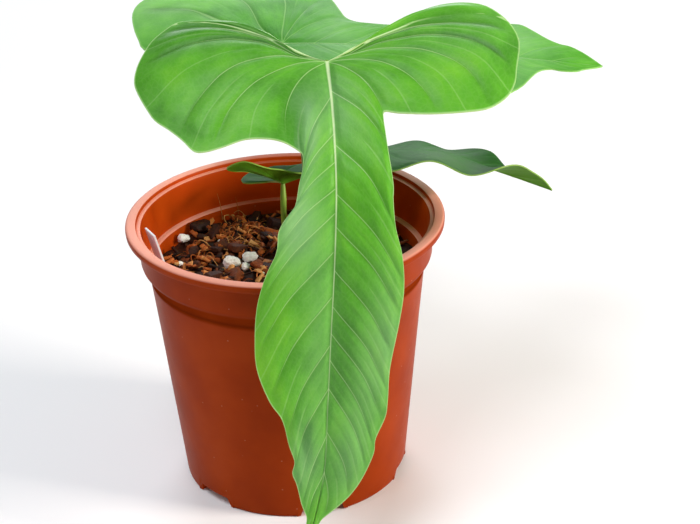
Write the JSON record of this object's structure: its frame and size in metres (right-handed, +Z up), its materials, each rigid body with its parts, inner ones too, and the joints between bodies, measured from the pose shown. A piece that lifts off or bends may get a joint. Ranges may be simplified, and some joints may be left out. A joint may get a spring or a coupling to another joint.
{
  "type": "potted anthurium argyrostachyum",
  "caption": "Young aroid house plant with lobed, waisted leaves on slim stalks, rooted in bark mix in a round thin-walled terracotta-coloured plastic nursery pot with a bare white label.",
  "frame": {"origin": "on the pot's axis at the plane that its foot stands on", "axes": "+Z up along the pot's axis; -Y is the side with the large hanging leaf; +X is the side that the middle and low leaves point to"},
  "size_m": [0.1885, 0.1874, 0.1892],
  "materials": {
    "pot_plastic": "thin moulded polypropylene, semi-gloss terracotta colour",
    "potting_mix": "damp bark and coconut husk chips",
    "perlite": "rough white expanded grains",
    "label_plastic": "smooth white strip, bare",
    "stem": "ringed olive-brown young stem",
    "front_leaf": "satin mid-green blade with pale sunken veins",
    "back_leaf": "satin green blade with pale veins",
    "low_leaf": "satin blue-green above, saturated green beneath"
  },
  "bodies": {
    "root": {"pot": "pot_plastic", "potting_mix": "potting_mix", "perlite_grain_1": "perlite", "perlite_grain_2": "perlite", "perlite_grain_3": "perlite", "perlite_grain_4": "perlite", "perlite_grain_5": "perlite", "perlite_grain_6": "perlite", "plant_label": "label_plastic", "stem": "stem", "leaf_front": "front_leaf", "leaf_back": "back_leaf", "leaf_low": "low_leaf"}
  },
  "joints": []
}
